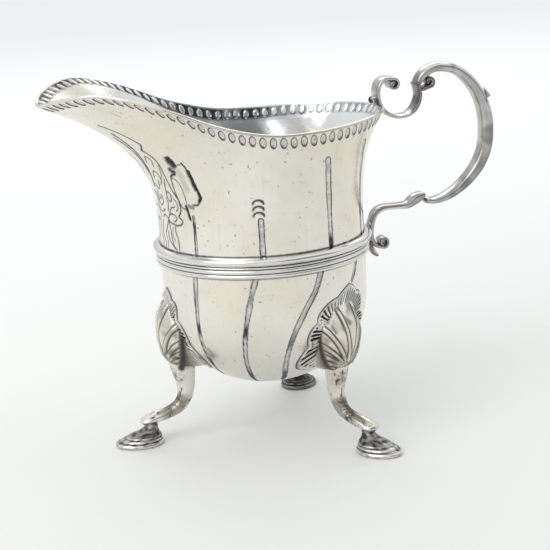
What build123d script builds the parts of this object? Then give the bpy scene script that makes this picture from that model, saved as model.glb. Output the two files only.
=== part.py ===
"""Silver cream jug: raised body, reeded girdle, three cast legs and a scroll handle, all soldered.

Millimetres, +Z up, the jug standing on its feet at z = 0.  The lip points along -X and the handle
along +X.  Body and handle mirror across the XZ plane; the legs are set a few degrees unevenly.
"""

from build123d import *
from math import atan2, cos, hypot, radians, sin
import os

# Raised body
BODY_RADIUS = 32.0
WALL = 0.9
BOTTOM_Z = 17.0
SHOULDER_Z = 45.0
FLARE_START_Z = 64.0
FLARE_POWER = 3.2
LOWEST_SECTION_ANGLE = 8
RIM_SAMPLES = 48

# Rim: angle from the lip, radius, height
RIM_STATIONS = [
    (0, 67.0, 110.3),
    (12, 64.4, 112.9),
    (25, 57.6, 114.6),
    (40, 48.6, 110.6),
    (58, 39.0, 104.0),
    (80, 33.4, 100.2),
    (105, 32.8, 99.4),
    (140, 36.2, 100.0),
    (180, 41.3, 100.4),
]

# Girdle round the waist
GIRDLE_TOP = 63.8
GIRDLE_BEAD_FOOT = 61.0
GIRDLE_BOTTOM = 57.4
GIRDLE_RADIUS = 34.4
FILLET_HEIGHT = 0.8
FILLET_OUT = 1.0
REED_OUT = 1.6

# Legs: one under the lip, and one each side towards the handle, a little uneven as the real ones are
LEG_TURNS = {"front": 177, "left": -59, "right": 62}
# Leg centre line: distance from the jug's axis, height, depth, width
LEG_SECTIONS = [
    (29.5, 31.0, 8.6, 9.0),
    (28.3, 25.0, 8.0, 7.4),
    (27.6, 19.5, 6.0, 5.4),
    (27.9, 15.0, 4.8, 4.8),
    (30.2, 11.2, 4.0, 4.6),
    (34.2, 9.2, 3.6, 4.8),
    (38.8, 8.2, 3.2, 5.6),
    (43.3, 7.2, 1.8, 6.6),
]
# Foot pad steps: bottom height, top height, centre distance, half length, half width
PAD_STEPS = [
    (0.0, 1.6, 43.7, 7.8, 6.2),
    (1.6, 2.8, 42.7, 6.6, 5.3),
    (2.8, 3.8, 41.6, 5.3, 4.4),
]
NECK_CENTRE = 39.4
NECK_HALF_LENGTH = 2.9
NECK_HALF_WIDTH = 2.5
NECK_TOP = 8.2

# Shell over each knee and the scalloped plate behind it
SHELL_CENTRE = (28.6, 37.0)
SHELL_HALF_SIZES = (6.9, 8.4, 11.0)
PLATE_THICKNESS = 0.7
PLATE_PEAK = (0, 51.6)
PLATE_SHOULDER = (5.2, 48.2)
# Scallops down one side of the plate: the middle and the end of each
PLATE_SCALLOPS = [
    ((9.4, 46.2), (10.2, 41.9)),
    ((13.0, 38.8), (12.6, 35.4)),
    ((14.0, 31.4), (10.2, 26.8)),
]
PLATE_FOOT = (0, 24.6)

# Handle straps: x, z and thickness along the centre line, then the strap's width
UPPER_SCROLL = [
    (44.6, 108.3, 1.2),
    (42.4, 108.5, 1.3),
    (40.5, 106.9, 1.4),
    (39.8, 104.0, 1.4),
    (40.4, 100.8, 1.3),
    (42.5, 97.9, 1.2),
    (45.5, 96.5, 1.2),
    (48.6, 96.4, 1.2),
    (51.1, 97.4, 1.2),
    (52.9, 99.6, 1.3),
    (53.8, 102.5, 1.3),
    (53.4, 105.2, 1.3),
]
UPPER_SCROLL_WIDTH = 6.6
CURL_CENTRE = (45.2, 106.7)
CURL_RADIUS = 1.8
GRIP = [
    (53.0, 105.4, 1.6),
    (55.3, 108.6, 2.2),
    (58.6, 110.4, 2.4),
    (62.0, 110.5, 2.4),
    (66.6, 109.2, 2.5),
    (71.0, 105.6, 2.8),
    (74.3, 100.6, 3.1),
    (76.3, 94.6, 3.5),
    (76.6, 88.5, 3.6),
    (75.7, 82.6, 3.5),
    (72.8, 77.0, 3.2),
    (68.0, 72.2, 2.7),
    (62.6, 69.0, 2.1),
    (57.6, 67.9, 1.6),
    (54.2, 68.6, 1.6),
]
GRIP_WIDTH = 5.6
VOLUTE = [
    (57.6, 105.3, 1.2),
    (56.4, 104.4, 1.4),
    (55.1, 104.2, 1.6),
]
VOLUTE_CENTRE = (58.0, 106.9)
VOLUTE_RADIUS = 1.6
VOLUTE_WIDTH = 4.6
SPUR = [(76.6, 102.0), (77.4, 98.6), (79.0, 100.0)]
SPUR_WIDTH = 2.4
LOWER_SCROLL = [
    (53.9, 69.3, 2.2),
    (51.2, 68.6, 2.6),
    (48.2, 67.6, 2.0),
    (44.0, 67.5, 1.6),
    (40.2, 67.4, 1.7),
    (37.6, 66.0, 1.7),
    (36.2, 63.0, 1.5),
    (35.8, 60.0, 1.3),
    (36.1, 57.6, 1.2),
    (37.4, 55.6, 1.2),
    (39.3, 54.9, 1.2),
]
LOWER_SCROLL_WIDTH = 5.0
TAIL_CENTRE = (39.6, 56.4)
TAIL_RADIUS = 1.9
TAIL_LEAF = [(35.5, 57.0), (35.3, 54.8), (38.0, 51.8), (39.6, 53.2)]
TAIL_LEAF_WIDTH = 3.6
PELLET_CENTRE = (38.6, 102.3)
PELLET_RADIUS = 1.3

# Half the overhang difference between handle and lip: centres the jug's outline on the origin
OUTLINE_SHIFT = (RIM_STATIONS[0][1] - SPUR[2][0]) / 2

# Depth of the block that the plate's outline is cut from, and the gap left at each curved seat
PLATE_REACH = 45
CLEARANCE = 0.02


def largest(shape):
    """The main solid of a cut shape, without the chips that the cut leaves."""
    return shape.solids().sort_by(SortBy.VOLUME)[-1]


def make_rim_line():
    """The rim as one closed curve through its stations and their mirror images."""
    mirrored = [(-angle, radius, height) for angle, radius, height in RIM_STATIONS[-2:0:-1]]
    points = [
        (-radius * cos(radians(angle)), -radius * sin(radians(angle)), height)
        for angle, radius, height in RIM_STATIONS + mirrored
    ]
    return Spline(*points, periodic=True)


RIM_LINE = make_rim_line()
RIM_POINTS = [RIM_LINE @ (index / RIM_SAMPLES) for index in range(RIM_SAMPLES)]


def ring(radius_and_height):
    """A closed section of the wall, from a function of the rim point above it."""
    points = []
    for point in RIM_POINTS:
        turn = atan2(point.Y, point.X)
        radius, height = radius_and_height(hypot(point.X, point.Y), point.Z)
        points.append((radius * cos(turn), radius * sin(turn), height))
    return Wire([Edge.make_spline([Vector(*point) for point in points], periodic=True)])


def bowl_ring(slope, inset):
    """A section of the rounded bottom, inset by the wall for its inside."""
    radius = (BODY_RADIUS - inset) * sin(radians(slope))
    height = SHOULDER_Z - (SHOULDER_Z - BOTTOM_Z - inset) * cos(radians(slope))
    return ring(lambda rim_radius, rim_height: (radius, height))


def flare_ring(share, inset):
    """A section of the flaring wall, at a share of the way from the girdle to the rim."""

    def place(rim_radius, rim_height):
        rise = rim_height - FLARE_START_Z
        spread = rim_radius - BODY_RADIUS
        radius = BODY_RADIUS + spread * share**FLARE_POWER
        height = FLARE_START_Z + rise * share
        lean = spread * FLARE_POWER * share ** (FLARE_POWER - 1)
        length = hypot(rise, lean)
        return radius - inset * rise / length, height + inset * lean / length

    return ring(place)


def skin(inset):
    """One side of the wall, from the middle of the bottom up to the rim."""
    slopes = (LOWEST_SECTION_ANGLE, 22, 36, 50, 64, 78, 90)
    shares = (0, 0.2, 0.4, 0.58, 0.72, 0.84, 0.93, 1)
    waist = (SHOULDER_Z + FLARE_START_Z) / 2
    sections = [bowl_ring(slope, inset) for slope in slopes]
    sections.append(ring(lambda rim_radius, rim_height: (BODY_RADIUS - inset, waist)))
    sections += [flare_ring(share, inset) for share in shares]
    return sections


def make_body():
    outer = skin(0)
    inner = skin(WALL)
    faces = list(Shell.make_loft(outer).faces())
    faces += Shell.make_loft(inner).faces()
    faces += Shell.make_loft([outer[-1], inner[-1]], ruled=True).faces()
    faces += [Face(outer[0]), Face(inner[0])]
    return Solid(Shell(faces))


def bowl_envelope(grow):
    """The rounded lower body as one plain solid, grown by a skin's thickness."""
    radius = BODY_RADIUS + grow
    depth = SHOULDER_Z - BOTTOM_Z + grow
    outline = EllipticalCenterArc((0, SHOULDER_Z), radius, depth, start_angle=-90, arc_size=90)
    top = Polyline(outline @ 1, (radius, GIRDLE_BOTTOM), (0, GIRDLE_BOTTOM), outline @ 0)
    face = make_face(Plane.XZ * (outline + top))
    return revolve(face, Axis.Z)


def make_girdle_bead():
    seat = BODY_RADIUS + CLEARANCE
    middle = (GIRDLE_TOP + GIRDLE_BEAD_FOOT) / 2
    half_height = (GIRDLE_TOP - GIRDLE_BEAD_FOOT) / 2
    arc = EllipticalCenterArc(
        (seat, middle), GIRDLE_RADIUS - seat, half_height, start_angle=-90, arc_size=180
    )
    face = make_face(Plane.XZ * (arc + Line(arc @ 1, arc @ 0)))
    return revolve(face, Axis.Z)


def make_girdle_reeding():
    seat = BODY_RADIUS + CLEARANCE
    shelf = BODY_RADIUS + FILLET_OUT
    reeds_top = GIRDLE_BEAD_FOOT - FILLET_HEIGHT
    reed_height = (reeds_top - GIRDLE_BOTTOM) / 2
    lines = Polyline((seat, GIRDLE_BOTTOM), (seat, GIRDLE_BEAD_FOOT), (shelf, GIRDLE_BEAD_FOOT),
                     (shelf, reeds_top))
    for index in range(2):
        high = reeds_top - index * reed_height
        low = high - reed_height
        lines += ThreePointArc((shelf, high), (BODY_RADIUS + REED_OUT, (high + low) / 2), (shelf, low))
    lines += Line((shelf, GIRDLE_BOTTOM), (seat, GIRDLE_BOTTOM))
    return revolve(make_face(Plane.XZ * lines), Axis.Z)


def make_leg():
    """One leg standing along +X, cut to sit on the bowl."""
    centre = Spline(*[(section[0], 0, section[1]) for section in LEG_SECTIONS])
    wires = []
    for distance, height, depth, width in LEG_SECTIONS:
        tangent = centre % centre.param_at_point(Vector(distance, 0, height))
        plane = Plane(origin=(distance, 0, height), x_dir=(0, 1, 0), z_dir=tangent)
        wires.append(Wire([Edge.make_ellipse(width / 2, depth / 2, plane)]))
    return Solid.make_loft(wires) - bowl_envelope(CLEARANCE)


def make_foot(leg):
    """The stepped pad and its neck, met by the leg's ankle."""
    foot = Part()
    for bottom, top, distance, half_length, half_width in PAD_STEPS:
        foot += Pos(distance, 0, bottom) * extrude(Ellipse(half_length, half_width), top - bottom)
    neck_bottom = PAD_STEPS[-1][1]
    neck = Ellipse(NECK_HALF_LENGTH, NECK_HALF_WIDTH)
    foot += Pos(NECK_CENTRE, 0, neck_bottom) * extrude(neck, NECK_TOP - neck_bottom)
    return largest(foot - leg)


def make_plate():
    """The scalloped plate behind the shell, curved to the bowl."""
    last_x, last_z = PLATE_SCALLOPS[-1][1]
    outline = Curve() + ThreePointArc((-last_x, last_z), PLATE_FOOT, (last_x, last_z))
    for side in (1, -1):
        start = PLATE_SHOULDER
        outline += Line(PLATE_PEAK, (side * start[0], start[1]))
        for middle, end in PLATE_SCALLOPS:
            scallop = [(side * x, z) for x, z in (start, middle, end)]
            outline += ThreePointArc(*scallop)
            start = end
    prism = extrude(make_face(Plane.YZ * outline), PLATE_REACH, dir=(1, 0, 0))
    return (bowl_envelope(PLATE_THICKNESS) - bowl_envelope(CLEARANCE)) & prism


def make_shell(leg):
    """The domed shell that covers the top of the leg."""
    dome = Pos(SHELL_CENTRE[0], 0, SHELL_CENTRE[1]) * scale(Sphere(1), by=SHELL_HALF_SIZES)
    return largest(dome - bowl_envelope(PLATE_THICKNESS) - leg)


def make_strap(stations, width):
    """A flat strap that follows its centre line in the XZ plane."""
    centre = Spline(*[(station[0], 0, station[1]) for station in stations])
    left = []
    right = []
    for x, z, thickness in stations:
        tangent = centre % centre.param_at_point(Vector(x, 0, z))
        normal = Vector(-tangent.Z, 0, tangent.X) * (thickness / 2)
        left.append(Vector(x, 0, z) + normal)
        right.append(Vector(x, 0, z) - normal)
    outline = Spline(*left) + Line(left[-1], right[-1]) + Spline(*right[::-1]) + Line(right[0], left[0])
    return extrude(make_face(outline), width / 2, dir=(0, 1, 0), both=True)


def make_roll(centre, radius, width):
    """The rolled end of a scroll, lying across the handle."""
    disc = Plane(origin=(centre[0], 0, centre[1]), z_dir=(0, 1, 0)) * Circle(radius)
    return extrude(disc, width / 2, dir=(0, 1, 0), both=True)


def make_blade(corners, width):
    """A small flat piece cut to a few corners in the XZ plane."""
    face = make_face(Polyline(*[(x, 0, z) for x, z in corners], close=True))
    return extrude(face, width / 2, dir=(0, 1, 0), both=True)


def make_handle(body, girdle):
    """The handle's pieces, each cut back to the ones it is soldered to."""
    upper = make_strap(UPPER_SCROLL, UPPER_SCROLL_WIDTH)
    upper += make_roll(CURL_CENTRE, CURL_RADIUS, UPPER_SCROLL_WIDTH)
    upper = largest(upper - body)
    grip = largest(make_strap(GRIP, GRIP_WIDTH) - upper)
    volute = make_strap(VOLUTE, VOLUTE_WIDTH) + make_roll(VOLUTE_CENTRE, VOLUTE_RADIUS, VOLUTE_WIDTH)
    volute = largest(volute - grip - upper)
    lower = make_strap(LOWER_SCROLL, LOWER_SCROLL_WIDTH)
    lower += make_roll(TAIL_CENTRE, TAIL_RADIUS, LOWER_SCROLL_WIDTH)
    lower = largest(lower - grip - girdle)
    pellet = Pos(PELLET_CENTRE[0], 0, PELLET_CENTRE[1]) * Sphere(PELLET_RADIUS)
    return {
        "handle_upper_scroll": upper,
        "handle_grip": grip,
        "handle_volute": volute,
        "handle_thumb_spur": largest(make_blade(SPUR, SPUR_WIDTH) - grip),
        "handle_lower_scroll": lower,
        "handle_tail_leaf": largest(make_blade(TAIL_LEAF, TAIL_LEAF_WIDTH) - lower - girdle),
        "handle_rim_pellet": largest(pellet - upper - body),
    }


def make_all():
    body = make_body()
    bead = make_girdle_bead()
    parts = {"body": body, "girdle_bead": bead, "girdle_reeding": make_girdle_reeding()}
    leg = make_leg()
    foot = make_foot(leg)
    plate = largest(make_plate() - leg)
    shell = make_shell(leg)
    pieces = {"knee_plate": plate, "knee_shell": shell, "leg": leg, "foot": foot}
    for side, turn in LEG_TURNS.items():
        for name, piece in pieces.items():
            parts[f"{side}_{name}"] = Rot(0, 0, turn) * piece
    parts.update(make_handle(body, bead))
    return parts


os.makedirs("parts", exist_ok=True)
for node, piece in make_all().items():
    export_step(Pos(OUTLINE_SHIFT, 0, 0) * piece, f"parts/{node}.step")
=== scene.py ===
"""Silver cream jug: chased and polished surfaces, light and camera, built around the jug's solids."""

from functools import lru_cache
from math import atan2, cos, degrees, exp, hypot, pi, radians, sin, sqrt

import bmesh
import bpy
from mathutils import Matrix, Vector, noise


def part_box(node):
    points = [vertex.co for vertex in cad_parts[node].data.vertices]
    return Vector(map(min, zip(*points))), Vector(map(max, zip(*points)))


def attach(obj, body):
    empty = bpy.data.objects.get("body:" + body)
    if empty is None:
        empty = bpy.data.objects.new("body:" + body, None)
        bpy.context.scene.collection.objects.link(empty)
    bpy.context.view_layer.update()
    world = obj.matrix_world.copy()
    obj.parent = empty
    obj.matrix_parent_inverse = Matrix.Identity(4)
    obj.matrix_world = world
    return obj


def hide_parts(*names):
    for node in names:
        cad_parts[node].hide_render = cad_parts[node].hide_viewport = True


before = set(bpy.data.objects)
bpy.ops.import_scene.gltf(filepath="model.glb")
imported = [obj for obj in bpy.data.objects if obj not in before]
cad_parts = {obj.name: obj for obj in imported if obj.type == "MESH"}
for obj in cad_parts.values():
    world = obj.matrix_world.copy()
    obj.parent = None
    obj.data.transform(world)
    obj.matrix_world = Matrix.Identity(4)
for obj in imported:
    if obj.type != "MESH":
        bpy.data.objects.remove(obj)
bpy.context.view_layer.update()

# Sizes below are in millimetres about the jug's own axis; pieces are scaled and moved on to it at the end
MM = 0.001
bead_low, bead_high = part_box("girdle_bead")
AXIS_X = (bead_low.x + bead_high.x) / 2

BODY_RADIUS = 32.0
WALL = 0.9
BOTTOM_Z = 17.0
SHOULDER_Z = 45.0
SEAM_Z = 60.0
FLARE_START_Z = 64.0
FLARE_POWER = 3.2
BLANK_TOP = 100.0
RIM_BAND = 5.2
WALL_JOIN_Z = 80.0

# Rim: angle from the lip, radius, height
RIM_STATIONS = [
    (0, 67.0, 110.3),
    (12, 64.4, 112.9),
    (25, 57.6, 114.6),
    (40, 48.6, 110.6),
    (58, 39.0, 104.0),
    (80, 33.4, 100.2),
    (105, 32.8, 99.4),
    (140, 36.2, 100.0),
    (180, 41.3, 100.4),
]

LEG_TURNS = {"front": 177, "left": -59, "right": 62}


# ---------------------------------------------------------------- small maths


def clamp(value, low=0.0, high=1.0):
    return max(low, min(high, value))


def smooth(value, low, high):
    """0 below low, 1 above high, easing between."""
    share = clamp((value - low) / (high - low))
    return share * share * (3 - 2 * share)


def through(stations, place):
    """Smooth values through (place, value, ...) stations; the ends lie flat."""
    place = clamp(place, stations[0][0], stations[-1][0])
    index = 0
    while index < len(stations) - 2 and place > stations[index + 1][0]:
        index += 1

    def slope(i, k):
        if i in (0, len(stations) - 1):
            return 0.0
        before, after = stations[i - 1], stations[i + 1]
        return (after[k] - before[k]) / (after[0] - before[0])

    a, b = stations[index], stations[index + 1]
    width = b[0] - a[0]
    t = (place - a[0]) / width
    values = []
    for k in range(1, len(a)):
        start = (2 * t**3 - 3 * t**2 + 1) * a[k] + (t**3 - 2 * t**2 + t) * width * slope(index, k)
        end = (3 * t**2 - 2 * t**3) * b[k] + (t**3 - t**2) * width * slope(index + 1, k)
        values.append(start + end)
    return values


def path_through(points, steps):
    """Evenly stepped points on a smooth open line through given points of any dimension."""
    count = len(points)
    lengths = [0.0]
    for a, b in zip(points, points[1:]):
        lengths.append(lengths[-1] + hypot(b[0] - a[0], b[1] - a[1]))
    line = []
    for step in range(steps + 1):
        along = lengths[-1] * step / steps
        index = 0
        while index < count - 2 and along > lengths[index + 1]:
            index += 1
        t = (along - lengths[index]) / (lengths[index + 1] - lengths[index])
        values = []
        for k in range(len(points[0])):
            p1, p2 = points[index][k], points[index + 1][k]
            p0 = points[index - 1][k] if index else 2 * p1 - p2
            p3 = points[index + 2][k] if index + 2 < count else 2 * p2 - p1
            values.append(0.5 * (2 * p1 + (p2 - p0) * t + (2 * p0 - 5 * p1 + 4 * p2 - p3) * t**2
                                 + (3 * p1 - p0 - 3 * p2 + p3) * t**3))
        line.append(values)
    return line


def distance_to_line(x, y, line):
    """Nearest distance to a flat broken line, and how far along it from 0 to 1 that is."""
    best, where = 1e9, 0.0
    last = len(line) - 1
    for i in range(last):
        ax, ay = line[i][0], line[i][1]
        bx, by = line[i + 1][0] - ax, line[i + 1][1] - ay
        t = clamp(((x - ax) * bx + (y - ay) * by) / max(bx * bx + by * by, 1e-9))
        gap = hypot(x - ax - t * bx, y - ay - t * by)
        if gap < best:
            best, where = gap, (i + t) / last
    return best, where


# ---------------------------------------------------------------- the jug's form


@lru_cache(maxsize=None)
def rim(angle):
    """Radius and height of the rim at an angle from the lip, in degrees."""
    return through(RIM_STATIONS, min(abs(angle), 360 - abs(angle)))


def rim_spread(steps=720):
    """Angles that step evenly along the rim's edge, from 0 to 360 degrees."""
    lengths, angles = [0.0], [0.0]
    last = None
    for i in range(steps + 1):
        angle = 360 * i / steps
        radius, height = rim(angle)
        point = Vector((radius * cos(radians(angle)), radius * sin(radians(angle)), height))
        if last is not None:
            lengths.append(lengths[-1] + (point - last).length)
            angles.append(angle)
        last = point
    return lengths, angles


RIM_LENGTHS, RIM_ANGLES = rim_spread()
RIM_LENGTH = RIM_LENGTHS[-1]


def look_up(value, keys, values):
    """The value beside a rising key, shared out between the two nearest."""
    low, high = 0, len(keys) - 1
    while high - low > 1:
        middle = (low + high) // 2
        if keys[middle] <= value:
            low = middle
        else:
            high = middle
    share = (value - keys[low]) / (keys[high] - keys[low])
    return values[low] + share * (values[high] - values[low])


@lru_cache(maxsize=None)
def band_share(angle):
    """How far up the flare the rim band starts, so that it is equally deep all round."""
    rim_radius, rim_height = rim(angle)
    rise, spread = rim_height - FLARE_START_Z, rim_radius - BODY_RADIUS
    share = 0.9
    for _ in range(4):
        lean = spread * FLARE_POWER * (share ** (FLARE_POWER - 1) + 1) / 2
        share = 1 - RIM_BAND / hypot(rise, lean)
    return share


def flare(angle, blank_height, inset):
    """Radius, height and outward direction of the wall, from its place on a straight blank."""
    if blank_height <= FLARE_START_Z:
        return BODY_RADIUS - inset, blank_height, (1.0, 0.0)
    rim_radius, rim_height = rim(angle)
    start = band_share(angle)
    band_foot = BLANK_TOP - RIM_BAND
    if blank_height > band_foot:
        share = start + (1 - start) * (blank_height - band_foot) / RIM_BAND
    else:
        share = start * (blank_height - FLARE_START_Z) / (band_foot - FLARE_START_Z)
    rise = rim_height - FLARE_START_Z
    spread = rim_radius - BODY_RADIUS
    lean = spread * FLARE_POWER * share ** (FLARE_POWER - 1)
    length = hypot(rise, lean)
    radius = BODY_RADIUS + spread * share**FLARE_POWER - inset * rise / length
    height = FLARE_START_Z + rise * share + inset * lean / length
    return radius, height, (rise / length, -lean / length)


def bowl_radius(height, grow=0.0):
    """Outside radius of the rounded bottom at a height."""
    if height >= SHOULDER_Z:
        return BODY_RADIUS + grow
    depth = SHOULDER_Z - BOTTOM_Z + grow
    return (BODY_RADIUS + grow) * sqrt(max(0.0, 1 - ((SHOULDER_Z - height) / depth) ** 2))


# ---------------------------------------------------------------- chasing

BEAD_PITCH = 3.22
BEAD_COUNT = round(RIM_LENGTH / BEAD_PITCH)
BEAD_DROP = 2.45
BEAD_HALF_HEIGHT = 1.5
BEAD_HALF_WIDTH = 1.02
BEAD_DEPTH = 0.36


def beads(rim_share, drop, inside):
    """Depth and darkness of the row of oval punch marks under the rim."""
    number = rim_share * BEAD_COUNT
    across = (number % 1 - 0.5) * RIM_LENGTH / BEAD_COUNT
    uneven = noise.noise((int(number) * 3.7, 0.5, 0))
    side = min(rim_share, 1 - rim_share)
    on_lip = 1 - smooth(side, 0.11, 0.2)
    middle = BEAD_DROP + 0.4 * on_lip + 0.25 * uneven
    reach = hypot(across / BEAD_HALF_WIDTH, (drop - middle) / (BEAD_HALF_HEIGHT + 0.3 * on_lip))
    depth = BEAD_DEPTH * (1 - smooth(reach, 0.62, 1.1)) * (1 + 0.3 * uneven)
    edge = exp(-(((reach - 0.98) / 0.15) ** 2))
    if inside:
        rough_reach = reach + 0.3 * noise.noise((across + number, drop, 8.0))
        gap = smooth(rough_reach, 0.78, 1.1) * smooth(drop, 0.4, 1.0)
        gap *= 1 - smooth(drop, 3.4, 4.7)
        rough = noise.noise((across * 1.3 + number, drop * 1.1, 2.0))
        towards_handle = smooth(side, 0.28, 0.42)
        return depth, clamp(gap * (0.85 + 0.5 * uneven + 0.4 * rough) * (1 - 0.55 * towards_handle))
    # painted shadow: each mark's dark outline is drawn heavier on its left and lower side, where shadow
    # falls
    shadowed_side = 0.75 + 0.35 * clamp(0.5 - 0.6 * across + 0.25 * (drop - BEAD_DROP))
    edge_line = 0.5 * exp(-(((drop - 0.55) / 0.14) ** 2))
    return depth, clamp(max(edge * shadowed_side + 0.2 * (1 - smooth(reach, 0.5, 0.9)), edge_line))


# Flutes above the girdle: angle from the lip, top, half width at the top and at the girdle
UPPER_FLUTES = [
    (36.4, 76.2, 0.42, 0.5),
    (74.6, 75.6, 0.92, 0.8),
    (114.6, 91.4, 1.1, 0.75),
    (147.0, 93.4, 1.1, 0.8),
]
# Flutes below it: points (angle, height), and half widths at both ends
LOWER_FLUTES = [
    ([(34.2, 58), (33.6, 50), (33.4, 41), (32.6, 34), (30.5, 28), (26.0, 23), (19.0, 20)], 0.8, 0.45),
    ([(70.4, 58), (66.6, 51), (63.0, 42), (60.2, 33), (59.0, 26.5), (58.0, 21), (57.0, 18)], 0.85, 0.5),
    ([(107.2, 58), (102.8, 51.8), (95.5, 45.7), (89.6, 39.5), (86.2, 33), (85.6, 27), (88.0, 21.5),
      (90, 18.2)], 0.95, 0.7),
    ([(137.2, 58), (134.2, 54.4), (130.6, 51.6)], 0.9, 0.6),
    ([(158.0, 58), (160.5, 48), (163.0, 40), (164.0, 32), (164.0, 24), (160, 19)], 0.9, 0.5),
]
FLUTE_DEPTH = 0.5
# Angles further than this from a flute's line are left plain
UPPER_FLUTE_REACH = 6
LOWER_FLUTE_REACH = 14
# The three arched marks over the second flute
ARCH_TURN = 73.8
ARCH_Z = 77.4
ARCH_PITCH = 1.85
ARCH_COUNT = 3
ARCH_RADIUS = 1.75


def flute(gap, half_width, along, number):
    """A flute's hollow and its dark edges, from the distance to its centre line."""
    half_width *= 0.94 * (1 + 0.25 * noise.noise((along * 0.22, number * 9.1, 0)))
    reach = gap / half_width
    hollow = FLUTE_DEPTH * sqrt(half_width) * (1 - smooth(reach, 0.1, 1.1))
    full = smooth(noise.noise((along * 0.16, number * 5.3, 4.0)), 0.0, 0.5)
    broken = 0.9 + 0.5 * noise.noise((along * 0.9, number * 2.7, gap * 0.8))
    edge = exp(-(((gap - half_width * 0.95) / 0.18) ** 2)) * broken
    cloudy = 0.2 + 0.7 * full + 0.14 * noise.noise((along * 1.4, number, gap))
    floor = cloudy * (1 - smooth(reach, 0.7, 1.0))
    return hollow, clamp(max(edge, floor))


def upper_flutes(angle, height):
    """Depth and darkness of the straight flutes above the girdle, and of the arches over the second."""
    depth = dark = 0.0
    for turn, top, top_half, foot_half in UPPER_FLUTES:
        gap = abs(angle - turn)
        if gap > UPPER_FLUTE_REACH:
            continue
        share = clamp((height - FLARE_START_Z) / (top - FLARE_START_Z))
        half = foot_half + (top_half - foot_half) * share
        over = max(0.0, height - (top - top_half))
        hollow, edge = flute(hypot(radians(gap) * BODY_RADIUS, over), half, height, turn)
        depth, dark = max(depth, hollow), max(dark, edge)
    if abs(angle - ARCH_TURN) < UPPER_FLUTE_REACH and 73 < height < 84:
        across = radians(angle - ARCH_TURN) * BODY_RADIUS
        for number in range(ARCH_COUNT):
            top = ARCH_Z + ARCH_PITCH * number
            arch = hypot(across, (height - top + 1.7) * 1.15)
            band = exp(-(((arch - ARCH_RADIUS) / 0.36) ** 2)) * smooth(height, top - 1.9, top - 1.2)
            band *= 1 - smooth(abs(across), 1.6, 2.0)
            depth, dark = max(depth, 0.25 * band), max(dark, band)
    return depth, dark
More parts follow.
